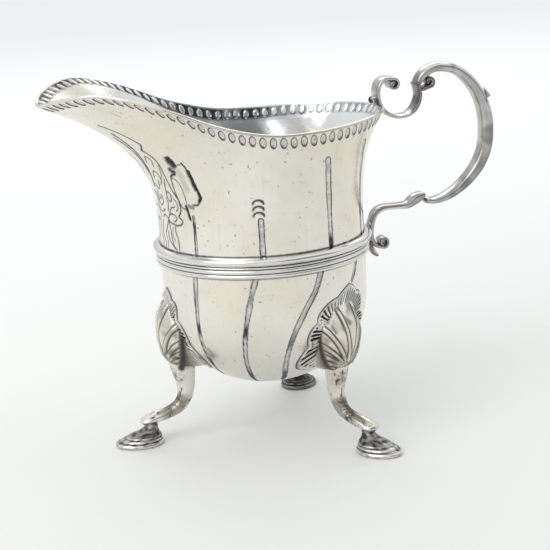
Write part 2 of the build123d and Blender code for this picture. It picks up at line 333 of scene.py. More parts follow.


# Cut and punched strokes each side of the lip, with a few grey strokes of painted shade: half width, depth,
# darkness, points (angle, height)
STROKES = [
    # the twisted leaf that opens the first flute: eye, smudges of painted shade, thick dark right edge,
    # petals and tail; the leaf's raised panel is not built, so its shading is painted as broad grey strokes
    # painted shade: a broad faint grey stroke across the leaf's panel
    (1.4, 0.15, 0.22, [(32.0, 89.6), (33.4, 87.0), (34.6, 84.0)]),
    (1.35, 0.7, 1.0, [(27.6, 93.0), (28.6, 92.4), (29.6, 91.6)]),
    # painted shade: the smudge below the eye, over a shallow hollow
    (0.75, 0.3, 0.85, [(26.4, 90.0), (27.6, 89.4), (28.8, 89.4)]),
    (0.4, 0.3, 0.9, [(29.0, 88.6), (27.0, 88.4), (25.4, 87.8)]),
    (0.3, 0.2, 0.5, [(31.0, 91.4), (33.4, 91.8), (35.6, 92.3)]),
    (0.34, 0.4, 0.9, [(35.6, 92.4), (37.0, 91.2), (38.0, 89.6)]),
    (0.72, 0.7, 1.0, [(37.8, 89.8), (38.8, 87.6), (39.6, 85.6), (40.6, 84.0)]),
    (0.55, 0.6, 1.0, [(40.4, 84.4), (41.6, 83.0), (42.2, 81.6), (41.0, 80.4)]),
    (0.3, 0.2, 0.85, [(41.2, 80.6), (40.2, 79.6), (37.0, 79.4)]),
    (0.28, 0.2, 0.75, [(25.0, 87.6), (24.8, 85.2), (25.2, 83.0), (26.6, 80.4), (28.6, 78.4), (31.0, 77.8)]),
    (0.24, 0.2, 0.65, [(25.6, 87.4), (28.4, 86.8), (30.4, 85.2), (31.8, 82.6), (32.5, 79.8), (31.8, 78.4)]),
    # painted shade: a grey smudge along the leaf's lower edge
    (0.7, 0.25, 0.55, [(34.0, 78.9), (36.6, 78.6)]),
    (0.5, 0.5, 1.0, [(31.6, 78.6), (32.6, 76.8), (33.6, 74.8)]),
    # shaped border of the engraving, from the lip down to the girdle
    (0.28, 0.1, 0.8, [(8.8, 104.0), (12.0, 102.0), (16.0, 98.8), (17.2, 97.6), (14.8, 95.6)]),
    (0.28, 0.1, 0.85, [(15.0, 95.8), (18.6, 93.6), (20.4, 90.8), (20.8, 88.0), (22.0, 85.0), (24.0, 82.5)]),
    (0.3, 0.1, 0.9, [(24.0, 82.5), (26.4, 80.6), (27.5, 78.0), (26.6, 76.2), (24.8, 75.2)]),
    (0.28, 0.1, 0.85, [(24.8, 75.2), (27.8, 74.0), (26.6, 72.8), (24.4, 72.4), (21.4, 72.1)]),
    (0.28, 0.1, 0.8, [(20.8, 71.6), (21.0, 70.0), (22.6, 68.0), (23.2, 64.6)]),
    # long line up the middle of the lip, doubled
    (0.32, 0.15, 0.85, [(8.6, 101.0), (9.4, 97.6), (9.7, 93.4), (9.0, 89.4), (7.4, 85.6), (6.2, 83.4)]),
    (0.28, 0.1, 0.85, [(6.8, 99.8), (7.8, 96.0), (8.2, 91.6), (7.6, 88.0)]),
    (0.3, 0.1, 0.85, [(2.4, 81.8), (4.6, 80.4), (7.2, 79.2)]),
    # nested curls and the bow below them
    (0.27, 0.1, 0.8, [(5.6, 81.4), (6.2, 79.0), (8.6, 77.6), (11.6, 78.8), (12.4, 80.8)]),
    (0.27, 0.1, 0.8, [(7.4, 82.4), (8.2, 80.4), (9.8, 79.8), (11.0, 81.0)]),
    (0.27, 0.1, 0.75, [(8.4, 84.4), (10.6, 83.0), (12.2, 83.6), (13.4, 85.6)]),
    (0.27, 0.1, 0.8, [(4.4, 79.4), (5.0, 76.8), (8.4, 75.6), (12.2, 76.6)]),
    (0.27, 0.1, 0.8, [(18.0, 82.6), (20.6, 82.0), (20.4, 79.8), (18.2, 79.8), (17.4, 81.2)]),
    (0.27, 0.1, 0.75, [(17.4, 81.2), (17.8, 84.0), (19.4, 86.6)]),
    (0.27, 0.1, 0.8, [(14.3, 73.7), (17.0, 75.4), (21.6, 75.4), (23.0, 74.2), (20.4, 73.2)]),
    (0.27, 0.1, 0.8, [(16.6, 75.6), (19.0, 77.4), (22.4, 78.0)]),
    (0.27, 0.1, 0.8, [(15.4, 76.4), (16.8, 78.6), (16.2, 80.6)]),
    (0.28, 0.1, 0.8, [(14.2, 73.6), (17.8, 72.6), (21.8, 72.4)]),
    (0.28, 0.1, 0.85, [(9.8, 69.2), (12.2, 71.4), (14.2, 73.2), (15.6, 70.8), (16.6, 67.8), (18.6, 64.8)]),
    (0.28, 0.1, 0.85, [(12.6, 69.6), (13.8, 67.2), (17.2, 65.6), (20.6, 64.6)]),
    (0.27, 0.1, 0.8, [(0.0, 73.4), (2.4, 71.4), (1.8, 68.4), (4.0, 66.4), (3.2, 64.6)]),
    (0.27, 0.1, 0.8, [(7.6, 73.0), (5.2, 70.2), (5.8, 67.6), (8.4, 65.6), (8.0, 64.4)]),
    (0.27, 0.1, 0.8, [(8.4, 74.0), (11.0, 74.8), (14.2, 73.8)]),
    (0.27, 0.1, 0.8, [(0.0, 77.2), (3.4, 76.4), (4.2, 74.2), (2.6, 72.4)]),
    (0.27, 0.1, 0.75, [(0.0, 86.6), (2.2, 88.6), (2.6, 92.0), (1.0, 95.4), (0.0, 96.2)]),
    (0.24, 0.1, 0.7, [(10.6, 86.4), (12.4, 88.6), (15.4, 88.4), (16.4, 86.0), (14.6, 84.6)]),
    (0.24, 0.1, 0.7, [(16.6, 86.2), (18.6, 88.2), (19.4, 91.0)]),
    (0.24, 0.1, 0.7, [(11.8, 91.6), (13.6, 93.6), (16.2, 92.6), (15.4, 90.4)]),
    (0.24, 0.1, 0.75, [(22.6, 80.6), (24.6, 79.6), (25.2, 77.6), (23.4, 76.8)]),
    (0.24, 0.1, 0.7, [(9.0, 68.6), (11.2, 66.8), (10.8, 64.6)]),
    (0.24, 0.1, 0.7, [(18.4, 71.4), (17.6, 69.2), (19.6, 67.2)]),
    # a few light scratches further up
    (0.14, 0.05, 0.4, [(20.7, 109.2), (22.2, 107.6)]),
    (0.14, 0.05, 0.4, [(22.6, 109.6), (24.6, 108.8)]),
    (0.12, 0.05, 0.4, [(31.0, 97.6), (33.0, 96.6)]),
    (0.14, 0.05, 0.45, [(86.6, 77.4), (86.8, 80.8)]),
]
STROKE_MARGIN = 1.6


def prepared(strokes):
    """Strokes as smooth broken lines in millimetres, each with the box that it can mark."""
    made = []
    for half, depth, dark, points in strokes:
        line = path_through([(radians(angle) * BODY_RADIUS, height) for angle, height in points],
                            5 * (len(points) - 1))
        low_x, high_x = min(x for x, y in line), max(x for x, y in line)
        low_y, high_y = min(y for x, y in line), max(y for x, y in line)
        box = (low_x - STROKE_MARGIN, high_x + STROKE_MARGIN, low_y - STROKE_MARGIN, high_y + STROKE_MARGIN)
        made.append((half, depth, dark, line, box))
    return made


PREPARED_STROKES = prepared(STROKES)


def strokes(angle, height):
    """Depth and darkness of the cut strokes and of the painted shade smudges at a place on the wall."""
    x = radians(angle) * BODY_RADIUS
    depth = dark = 0.0
    for half, deep, strength, line, (low_x, high_x, low_y, high_y) in PREPARED_STROKES:
        if not (low_x < x < high_x and low_y < height < high_y):
            continue
        uneven = 1 + 0.35 * noise.noise((x * 0.9, height * 0.9, half))
        reach = distance_to_line(x, height, line)[0] / (half * uneven)
        depth = max(depth, deep * exp(-(reach**2)))
        dark = max(dark, strength * exp(-(reach**4)))
    return depth, dark


LOWER_LINES = [(path_through(points, 24), wide, narrow) for points, wide, narrow in LOWER_FLUTES]


def lower_flutes(angle, height):
    """Depth and darkness of the curving flutes below the girdle."""
    depth = dark = 0.0
    local = max(bowl_radius(height), 6.0) * radians(1)
    stretch = BODY_RADIUS / max(bowl_radius(height), 9.0) if height < SHOULDER_Z else 1.0
    for number, (points, wide, narrow) in enumerate(LOWER_LINES):
        nearest = min(abs(angle - points[place][0]) for place in (0, 12, -1))
        if nearest > LOWER_FLUTE_REACH:
            continue
        gap, along = distance_to_line(angle * local, height * stretch,
                                      [(a * local, z * stretch) for a, z in points])
        hollow, edge = flute(gap, wide + (narrow - wide) * along, height, number)
        depth, dark = max(depth, hollow), max(dark, edge)
    return depth, dark


# ---------------------------------------------------------------- making pieces

SHARP_CORNER = radians(60)
SPIN_MERGE = 0.0005
SKIN_MERGE = 0.0008


def new_piece(name, bm, materials, nodes):
    """Turns a finished mesh in jug millimetres into a piece that rides on the body."""
    bmesh.ops.scale(bm, vec=(MM, MM, MM), verts=bm.verts)
    bmesh.ops.translate(bm, vec=(AXIS_X, 0, 0), verts=bm.verts)
    mesh = bpy.data.meshes.new(name)
    for face in bm.faces:
        face.smooth = True
    for edge in bm.edges:
        edge.smooth = edge.calc_face_angle(0) < SHARP_CORNER
    bm.to_mesh(mesh)
    bm.free()
    piece = bpy.data.objects.new(name, mesh)
    bpy.context.scene.collection.objects.link(piece)
    for material in materials:
        mesh.materials.append(material)
    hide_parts(*nodes)
    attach(piece, "root")


def spin_profile(profile, steps):
    """A surface of revolution about +Z from (radius, height) points."""
    bm = bmesh.new()
    verts = [bm.verts.new((radius, 0, height)) for radius, height in profile]
    for a, b in zip(verts, verts[1:]):
        bm.edges.new((a, b))
    bmesh.ops.spin(bm, geom=bm.verts[:] + bm.edges[:], cent=(0, 0, 0), axis=(0, 0, 1), angle=2 * pi,
                   steps=steps, use_merge=True)
    bmesh.ops.remove_doubles(bm, verts=bm.verts, dist=SPIN_MERGE)
    bmesh.ops.recalc_face_normals(bm, faces=bm.faces)
    return bm


def rows(start, end, spacing):
    """Evenly spaced places from start to end, about so far apart."""
    count = max(1, round(abs(end - start) / spacing))
    return [start + (end - start) * i / count for i in range(count + 1)]


# one mask per piece for dark polish in hollows and also for painted shade, painted shadow and painted
# reflection
def patina_and_shade_layer(bm):
    return bm.verts.layers.float.new("patina_and_shade")


WALL_STEPS = 880
BAND_STEPS = 1400
INSIDE_FACE = 1
INSIDE_RADIUS = BODY_RADIUS - WALL * 0.9


def column_spread(steps=1440):
    """Column places: close together on the chased lip and across each flute, wider elsewhere."""
    places, angles = [0.0], [0.0]
    for i in range(steps):
        angle = 360 * (i + 0.5) / steps
        side = min(angle, 360 - angle)
        weight = 1.0 + 1.6 * (1 - smooth(side, 42, 48))
        weight += 3.0 * max(1 - smooth(abs(side - turn), 2.6, 4.0) for turn, *sizes in UPPER_FLUTES)
        places.append(places[-1] + weight)
        angles.append(360 * (i + 1) / steps)
    return [place / places[-1] for place in places], angles


COLUMN_PLACES, COLUMN_ANGLES = column_spread()


def shape_wall(bm, rim_spaced):
    """Bends a straight blank into the flaring wall and chases it; outside and inside together."""
    layer = patina_and_shade_layer(bm)
    for vert in bm.verts:
        share = degrees(atan2(vert.co.y, vert.co.x)) % 360 / 360
        share = round(share, 6) % 1
        if rim_spaced:
            angle = round(look_up(share * RIM_LENGTH, RIM_LENGTHS, RIM_ANGLES), 5)
            rim_share = share
        else:
            angle = round(look_up(share, COLUMN_PLACES, COLUMN_ANGLES), 5)
        inset = BODY_RADIUS - hypot(vert.co.x, vert.co.y)
        inside = inset > WALL / 2
        radius, height, out = flare(angle, vert.co.z, inset)
        side = min(angle, 360 - angle)
        depth = dark = 0.0
        if rim_spaced:
            depth, dark = beads(rim_share, BLANK_TOP - vert.co.z, inside)
        elif not inside:
            depth, dark = upper_flutes(side, height)
            deep, line = strokes(side, height)
            depth, dark = max(depth, deep), max(dark, line)
            seat = exp(-(((height - FLARE_START_Z) / 0.2) ** 2))
            dark = max(dark, seat * (0.65 + 0.6 * noise.noise((side * 0.3, 3.0, 0))))
        turn = radians(180 + angle)
        planish = 0.07 * noise.noise((radius * cos(turn) * 0.13, radius * sin(turn) * 0.13, height * 0.13))
        depth = min(depth, WALL - 0.15) * (0.6 if inside else 1) + planish
        radius -= depth * out[0]
        height -= depth * out[1]
        vert.co = (radius * cos(turn), radius * sin(turn), height)
        vert[layer] = dark
    bmesh.ops.recalc_face_normals(bm, faces=bm.faces)


def mark_inside(bm):
    """Gives the inside skin of a straight blank the inside finish."""
    for face in bm.faces:
        middle = face.calc_center_median()
        if hypot(middle.x, middle.y) < INSIDE_RADIUS:
            face.material_index = INSIDE_FACE


def make_wall(name, outside, materials):
    """One ring of the wall above the girdle, outside and inside."""
    inside = rows(outside[-1], outside[0], 2.4)
    profile = [(BODY_RADIUS, z) for z in outside] + [(BODY_RADIUS - WALL, z) for z in inside]
    bm = spin_profile(profile + profile[:1], WALL_STEPS)
    mark_inside(bm)
    shape_wall(bm, rim_spaced=False)
    new_piece(name, bm, materials, ["body"])


def make_rim_band(materials):
    """The beaded band under the rim and the rounded edge itself."""
    band_foot = BLANK_TOP - RIM_BAND
    outside = rows(band_foot, BLANK_TOP - 0.25, 0.25)
    profile = [(BODY_RADIUS, z) for z in outside]
    profile += [(BODY_RADIUS - 0.12, BLANK_TOP - 0.06), (BODY_RADIUS - WALL / 2, BLANK_TOP),
                (BODY_RADIUS - WALL + 0.12, BLANK_TOP - 0.06)]
    profile += [(BODY_RADIUS - WALL, z) for z in reversed(outside)]
    bm = spin_profile(profile + profile[:1], BAND_STEPS)
    mark_inside(bm)
    shape_wall(bm, rim_spaced=True)
    new_piece("body_rim_band", bm, materials, ["body"])


BOWL_STEPS = 520
BOWL_ROW = 0.55


def make_bowl(materials):
    """From the girdle down: the rounded bottom, outside and inside."""
    profile = []
    depth = SHOULDER_Z - BOTTOM_Z
    for slope in rows(0, 90, degrees(BOWL_ROW / BODY_RADIUS)):
        profile.append((BODY_RADIUS * sin(radians(slope)), SHOULDER_Z - depth * cos(radians(slope))))
    profile += [(BODY_RADIUS, z) for z in rows(SHOULDER_Z, SEAM_Z, BOWL_ROW)[1:]]
    profile += [(BODY_RADIUS - WALL, z) for z in rows(SEAM_Z, SHOULDER_Z, 3)]
    for slope in rows(90, 0, 4)[1:]:
        profile.append(((BODY_RADIUS - WALL) * sin(radians(slope)),
                        SHOULDER_Z - (depth - WALL) * cos(radians(slope))))
    bm = spin_profile(profile, BOWL_STEPS)
    for face in bm.faces:
        middle = face.calc_center_median()
        if hypot(middle.x, middle.y) < bowl_radius(middle.z, -WALL / 2) and middle.z > BOTTOM_Z + WALL / 2:
            face.material_index = INSIDE_FACE
    layer = patina_and_shade_layer(bm)
    for vert in bm.verts:
        radius = hypot(vert.co.x, vert.co.y)
        angle = degrees(atan2(vert.co.y, vert.co.x)) % 360
        side = abs(180 - angle)
        height = vert.co.z
        outer = radius > bowl_radius(height) - 0.05 or height < BOTTOM_Z + 0.1
        if not outer or height > 58.5:
            continue
        deep, dark = lower_flutes(side, height)
        fade = smooth(radius, 5.0, 12.0)
        deep, dark = deep * fade, dark * fade
        deep += 0.05 * noise.noise(vert.co * 0.16)
        lean = atan2(radius / BODY_RADIUS**2, max(0.0, SHOULDER_Z - height) / depth**2)
        shrink = 1 - deep * sin(lean) / max(radius, 1e-6)
        vert.co.x *= shrink
        vert.co.y *= shrink
        vert.co.z += deep * cos(lean)
        vert[layer] = max(dark, 0.85 * exp(-(((height - 57.3) / 0.35) ** 2)))
    bmesh.ops.recalc_face_normals(bm, faces=bm.faces)
    new_piece("body_bowl", bm, materials, ["body"])


def arc_points(centre, radii, start, end, steps):
    """Points on a round or oval arc, from one angle to another in degrees."""
    return [(centre[0] + radii[0] * cos(radians(start + (end - start) * i / steps)),
             centre[1] + radii[1] * sin(radians(start + (end - start) * i / steps)))
            for i in range(steps + 1)]


GIRDLE_STEPS = 360


def make_girdle(material):
    """The half-round bead and the reeded wire under it."""
    seat = BODY_RADIUS - 0.1
    bead = [(seat, 63.7)]
    bead += arc_points((BODY_RADIUS + 0.35, 62.4), (2.0, 1.38), 90, -90, 18)
    bead += [(seat, 61.1)]
    bm = spin_profile(bead + bead[:1], GIRDLE_STEPS)
    layer = patina_and_shade_layer(bm)
    for vert in bm.verts:
        radius = hypot(vert.co.x, vert.co.y)
        vert[layer] = 0.9 * (1 - smooth(radius, BODY_RADIUS + 0.05, BODY_RADIUS + 0.6))
        wobble = 1 + 0.0012 * noise.noise(vert.co * 0.12) if radius > BODY_RADIUS + 0.2 else 1
        vert.co.x *= wobble
        vert.co.y *= wobble
    new_piece("girdle_half_round", bm, [material], ["girdle_bead"])
    shelf = BODY_RADIUS + 0.95
    reeds = [(seat, 60.95)] + arc_points((shelf, 60.62), (0.36, 0.36), 90, -90, 6)
    for middle in (59.5, 58.1):
        reeds += arc_points((shelf, middle), (0.62, 0.66), 84, -84, 10)
    reeds += [(seat, 57.45)]
    bm = spin_profile(reeds + reeds[:1], GIRDLE_STEPS)
    layer = patina_and_shade_layer(bm)
    for vert in bm.verts:
        radius = hypot(vert.co.x, vert.co.y)
        vert[layer] = 0.95 * (1 - smooth(radius, shelf + 0.02, shelf + 0.32))
    new_piece("girdle_reeds", bm, [material], ["girdle_reeding"])


def wrapped(around, along, place):
    """A grid bent into a skin by place(u, v), with u round it and v along it, both from 0 to 1."""
    bm = bmesh.new()
    bmesh.ops.create_grid(bm, x_segments=around, y_segments=along, size=0.5)
    layer = patina_and_shade_layer(bm)
    for vert in bm.verts:
        point, dark = place(vert.co.x + 0.5, vert.co.y + 0.5)
        vert.co = point
        vert[layer] = dark
    bmesh.ops.remove_doubles(bm, verts=bm.verts, dist=SKIN_MERGE)
    bmesh.ops.recalc_face_normals(bm, faces=bm.faces)
    return bm


# ---------------------------------------------------------------- legs

PLATE_PEAK = (0.0, 51.6)
PLATE_SHOULDER = (5.2, 48.2)
PLATE_SCALLOPS = [
    ((9.3, 46.1), (10.3, 41.6)),
    ((12.7, 38.0), (11.6, 33.6)),
    ((12.6, 28.6), (7.8, 24.0)),
]
PLATE_FOOT = (0.0, 22.6)
PLATE_RELIEF = 0.4
PLATE_PEAK_LEAN = 3.6
SHELL_MIDDLE = 37.0
SHELL_DISTANCE = 28.6
SHELL_HALF = (6.8, 8.3, 10.9)
HATCH_TURN = 6.4
SHELL_FOOT = 13.6
RIB_ROOT = 25.0
RIB_TURNS = (10, 29, 43, 55, 67)


def circle_through(start, middle, end, steps):
    """Points on the round arc through three places."""
    (ax, ay), (bx, by), (cx, cy) = start, middle, end
    twice = 2 * (ax * (by - cy) + bx * (cy - ay) + cx * (ay - by))
    a, b, c = ax * ax + ay * ay, bx * bx + by * by, cx * cx + cy * cy
    x = (a * (by - cy) + b * (cy - ay) + c * (ay - by)) / twice
    y = (a * (cx - bx) + b * (ax - cx) + c * (bx - ax)) / twice
    radius = hypot(ax - x, ay - y)
    first, last = atan2(ay - y, ax - x), atan2(cy - y, cx - x)
    while last > first:
        last -= 2 * pi
    return [(x + radius * cos(first + (last - first) * i / steps),
             y + radius * sin(first + (last - first) * i / steps)) for i in range(steps + 1)]


def plate_edge():
    """The right half of the plate's outline from peak to foot, with how far each place is from a cusp."""
    edge = [(x, y, 0.6) for x, y in path_through([PLATE_PEAK, (2.8, 50.2), PLATE_SHOULDER], 10)]
    start = PLATE_SHOULDER
    for middle, end in PLATE_SCALLOPS:
        lobe = circle_through(start, middle, end, 16)
        edge += [(x, y, sin(pi * i / 16)) for i, (x, y) in enumerate(lobe)][1:]
        start = end
    edge += [(x, y, 0.2) for x, y in path_through([start, (4.4, 22.9), PLATE_FOOT], 8)][1:]
    return edge


PLATE_EDGE = plate_edge()
PLATE_TURNS = [degrees(atan2(x, y - SHELL_MIDDLE)) for x, y, lobe in PLATE_EDGE]
PLATE_TURNS[0], PLATE_TURNS[-1] = 0.0, 180.0
PLATE_REACHES = [hypot(x, y - SHELL_MIDDLE) for x, y, lobe in PLATE_EDGE]
PLATE_LOBES = [lobe for x, y, lobe in PLATE_EDGE]


def wall_distance(across, height, depth=0.0):
    """How far out from the axis the bowl's skin is at a place on a leg's side, less a depth."""
    return sqrt(max(0.0, (bowl_radius(height) - depth) ** 2 - across**2))


def plate_place(u, v):
    """A place on the scalloped plate: u round it from the peak, v out over its face and back behind."""
    turn = 360 * u
    side = -1 if turn > 180 else 1
    turn = min(turn, 360 - turn)
    reach = look_up(turn, PLATE_TURNS, PLATE_REACHES)
    lobe = look_up(turn, PLATE_TURNS, PLATE_LOBES)
    front = v <= 0.85
    share = 0.45 + 0.55 * v / 0.85 if front else (1 - v) / 0.15
    across = side * reach * share * sin(radians(turn))
    height = SHELL_MIDDLE + reach * share * cos(radians(turn))
    across += PLATE_PEAK_LEAN * smooth(height, 42, 51.2)
    if not front:
        return (wall_distance(across, height, 0.5), across, height), 0.0
    hatch_turn = turn if turn < 90 else 90 + 0.66 * (turn - 90)
    off_mark = abs((hatch_turn / HATCH_TURN + 0.15 * noise.noise((turn * 0.2, side, 5))) % 1 - 0.5)
    mark = 1 - smooth(off_mark, 0.24, 0.34)
    top = 0.83 + 0.08 * lobe + 0.05 * noise.noise((turn * 0.4, side, 0))
    mark *= 1 - smooth(share, top, top + 0.04)
    mark *= 0.55 + 0.45 * smooth(turn, 20, 60)
    border = exp(-(((share - 0.965) / 0.018) ** 2))
    lift = PLATE_RELIEF * (0.55 + 0.45 * lobe) * (1 - smooth(share, 0.93, 1.0))
    lift += 0.28 * exp(-(((share - 0.9) / 0.05) ** 2)) - 0.34 * mark - 0.2 * border
    lift -= 0.25 * smooth(share, 0.985, 1.0)
    # painted shade: the plate is darkened where it runs in beside and under the shell
    shade_near_shell = 0.8 * (1 - smooth(share, 0.6, 0.7)) * (1 - smooth(height, 42, 45))
    dark = clamp(max(mark, 0.85 * border, shade_near_shell))
    return (wall_distance(across, height, -lift), across, height), dark


def shell_place(u, v):
    """A place on the ribbed shell: u round it from the top, v out over its face and back behind."""
    turn = 2 * pi * u
    front = v <= 0.86
    share = sin(pi / 2 * v / 0.86) if front else (1 - v) / 0.14
    across = SHELL_HALF[1] * share * sin(turn)
    height = SHELL_MIDDLE + (SHELL_HALF[2] if cos(turn) > 0 else SHELL_FOOT) * share * cos(turn)
    fan = degrees(atan2(abs(across), height - RIB_ROOT))
    gaps = [abs(fan - rib) for rib in RIB_TURNS]
    nearest = min(gaps)
    reach = hypot(across, height - RIB_ROOT)
    gap = radians(nearest) * reach
    if not front:
        return (wall_distance(across, height, 0.55), across, height), 0.0
    dome = SHELL_HALF[0] * max(0.0, 1 - share ** 2.4) ** 0.5
    bed = SHELL_DISTANCE + dome
    hollow = smooth(share, 0.25, 0.75) * (1 - smooth(share, 0.93, 1.0))
    lobe = clamp(nearest / 7.5)
    lift = 0.5 * exp(-((gap / 0.38) ** 2)) * smooth(reach, 1.2, 3.5) * (1 - smooth(share, 0.95, 1.0))
    lift -= (0.9 + 0.8 * smooth(height, 36, 44)) * hollow * sqrt(lobe)
    swell = 0.55 * (1 - hollow) * sin(pi * lobe / 2) * smooth(reach, 1.0, 4.0)
    lift += swell * (1 - smooth(share, 0.85, 0.95))
    crease = exp(-(((gap - 0.62) / 0.22) ** 2)) * smooth(reach, 1.5, 3.0)
    lift -= 0.3 * crease
    skin = wall_distance(across, height, 0.45)
    lean_out = 0.55 + 0.45 * (1 - share)
    distance = max(bed + lift * lean_out, skin)
    across *= 1 + 0.035 * lift * share
    rooted = (1 - smooth(reach, 0.8, 2.6)) * 0.5
    edge = smooth(share, 0.95, 1.0)
    # painted reflection: cloudy dark patches in the shell's polished hollows stand for the dark reflections
    # seen in them
    dark_reflection = 0.45 * hollow * smooth(noise.noise((across * 0.3, height * 0.25, 3)), -0.2, 0.3)
    dark = clamp(max(crease * 0.9, rooted, 0.9 * edge, dark_reflection))
    return (distance, across, height), dark


LEG_SECTIONS = [
    # distance from the axis, height, depth, width
    (29.2, 31.0, 6.6, 8.0),
    (28.2, 25.0, 7.4, 7.2),
    (27.6, 19.5, 6.0, 5.4),
    (27.9, 15.0, 4.8, 4.8),
    (30.2, 11.2, 4.0, 4.6),
    (34.2, 9.2, 3.6, 4.8),
    (38.8, 8.2, 3.2, 5.6),
    (43.3, 7.2, 1.8, 6.6),
]
LEG_LINE = path_through(LEG_SECTIONS, 72)


def leg_place(u, v):
    """A place on the curved leg: u round it, v from the knee down to the foot."""
    last = len(LEG_LINE) - 1
    index = min(int(round(v * last)), last)
    distance, height, depth, width = LEG_LINE[index]
    before, after = LEG_LINE[max(index - 1, 0)], LEG_LINE[min(index + 1, last)]
    run = Vector((after[0] - before[0], after[1] - before[1])).normalized()
    out = Vector((-run.y, run.x))
    turn = 2 * pi * u
    close = 0.0 if index in (0, last) else (0.62 if index == last - 1 else 1.0)
    swing = cos(turn)
    keel = 1 + 0.12 * max(0.0, swing) * (1 - abs(sin(turn)))
    x = distance + out.x * swing * depth / 2 * close * keel
    z = height + out.y * swing * depth / 2 * close * keel
    tip = sqrt(max(0.0, 1 - ((v - 0.9) / 0.1) ** 2)) if v > 0.9 else 1.0
    y = sin(turn) * width / 2 * close * (0.12 + 0.88 * tip)
    skin = wall_distance(y, z, 0.55) if z > BOTTOM_Z + 1 else 0.0
    bend = smooth(v, 0.42, 0.55) * (1 - smooth(v, 0.72, 0.86))
    worn = 0.5 + 0.5 * noise.noise((x * 0.55, y * 0.55, z * 0.45))
    speckle = 0.5 + 0.9 * noise.noise((x * 1.9, y * 1.9, z * 1.9))
    dark = bend * clamp(0.2 + 0.6 * worn + 0.5 * speckle) * clamp(0.75 + 0.4 * swing)
    # a speckled dark band at the top of the leg, just under the shell: partly tarnish, partly painted shade
    # cast by the shell
    knee = (1 - smooth(abs(z - 21.5), 1.5, 4.5)) * clamp(0.3 + 0.7 * swing)
    dark = max(0.88 * dark, 0.55 * knee * clamp(speckle - 0.05))
    dark = max(dark, 0.85 * smooth(noise.noise((x * 0.8, y * 1.1 + 7, z * 0.35)), 0.25, 0.5))
    ankle = smooth(v, 0.9, 0.99)
    return (max(x, skin), y, z), clamp(dark * (1 - ankle))


# Foot: height, centre distance, half length, half width, darkness
FOOT_STEPS = [
    (0.0, 43.6, 7.0, 5.5, 0.2),
    (0.15, 43.7, 7.55, 5.95, 0.1),
    (0.8, 43.7, 7.78, 6.18, 0.0),
    (1.3, 43.6, 7.5, 5.95, 0.1),
    (1.5, 43.5, 7.0, 5.6, 0.9),
    (1.6, 43.2, 6.6, 5.3, 0.7),
    (1.85, 43.0, 6.65, 5.3, 0.1),
    (2.2, 42.9, 6.4, 5.1, 0.3),
    (2.4, 42.6, 5.9, 4.8, 0.9),
    (2.55, 42.4, 5.6, 4.6, 0.7),
    (2.8, 42.2, 5.6, 4.6, 0.15),
    (3.1, 42.0, 5.3, 4.35, 0.75),
    (3.5, 41.5, 4.6, 3.8, 0.85),
    (4.1, 40.9, 3.6, 3.1, 0.7),
    (4.8, 40.3, 2.7, 2.45, 0.85),
    (5.6, 39.8, 2.15, 2.0, 0.7),
    (6.6, 39.6, 1.95, 1.85, 0.9),
    (7.6, 39.5, 2.1, 2.0, 0.8),
    (8.1, 39.4, 2.2, 2.1, 0.6),
]


def foot_place(u, v):
    """A place on the stepped foot: u round it, v from the middle of the sole up to the neck."""
    turn = 2 * pi * u
    if v < 0.06:
        height, centre, length, width, dark = FOOT_STEPS[0]
        length *= v / 0.06
        width *= v / 0.06
    elif v > 0.97:
        height, centre, length, width, dark = FOOT_STEPS[-1]
        length *= (1 - v) / 0.03
        width *= (1 - v) / 0.03
    else:
        place = (v - 0.06) / 0.91 * (len(FOOT_STEPS) - 1)
        index = min(int(place), len(FOOT_STEPS) - 2)
        share = place - index
        height, centre, length, width, dark = (
            a + (b - a) * share for a, b in zip(FOOT_STEPS[index], FOOT_STEPS[index + 1]))
    pinch = 1 - 0.1 * max(0.0, cos(turn)) * abs(sin(turn))
    worn = noise.noise((length * cos(turn) * 0.7, width * sin(turn) * 0.7, height * 1.2))
    dark = clamp(dark * (0.85 + 0.7 * worn) + 0.25 * smooth(worn, 0.15, 0.4))
    return (centre + length * cos(turn), width * sin(turn) * pinch, height), dark


# Grids of the leg's pieces: columns round each, rows along it
PLATE_GRID = (560, 34)
SHELL_GRID = (240, 72)
LEG_GRID = (48, 72)
FOOT_GRID = (96, 84)


def make_leg(side, chased, cast, foot_finish):
    """One leg's four castings, turned to the leg's own side of the jug."""
    turn = Matrix.Rotation(radians(LEG_TURNS[side]), 3, "Z")
    for piece, grid, place, finish, node, slot in (
        ("scalloped_plate", PLATE_GRID, plate_place, chased, "knee_plate", "chased_silver"),
        ("ribbed_shell", SHELL_GRID, shell_place, cast, "knee_shell", "cast_silver"),
        ("cast_leg", LEG_GRID, leg_place, cast, "leg", "cast_silver"),
        ("stepped_foot", FOOT_GRID, foot_place, foot_finish, "foot", "cast_silver"),
    ):
        bm = wrapped(*grid, place)
        bmesh.ops.rotate(bm, cent=(0, 0, 0), matrix=turn, verts=bm.verts)
        new_piece(f"{side}_{piece}", bm, [finish], [f"{side}_{node}"])


# ---------------------------------------------------------------- handle


def scroll_end(centre, radius, start, turns, thickness, steps=16):
    """Stations of a rolled end that winds in towards its centre, outermost first."""
    line = []
    for step in range(steps + 1):
        share = step / steps
        reach = radius * (1 - 0.68 * share)
        turn = radians(start + 360 * turns * share)
        line.append((centre[0] + reach * cos(turn), centre[1] + reach * sin(turn),
                     thickness * (1 - 0.35 * share)))
    return line


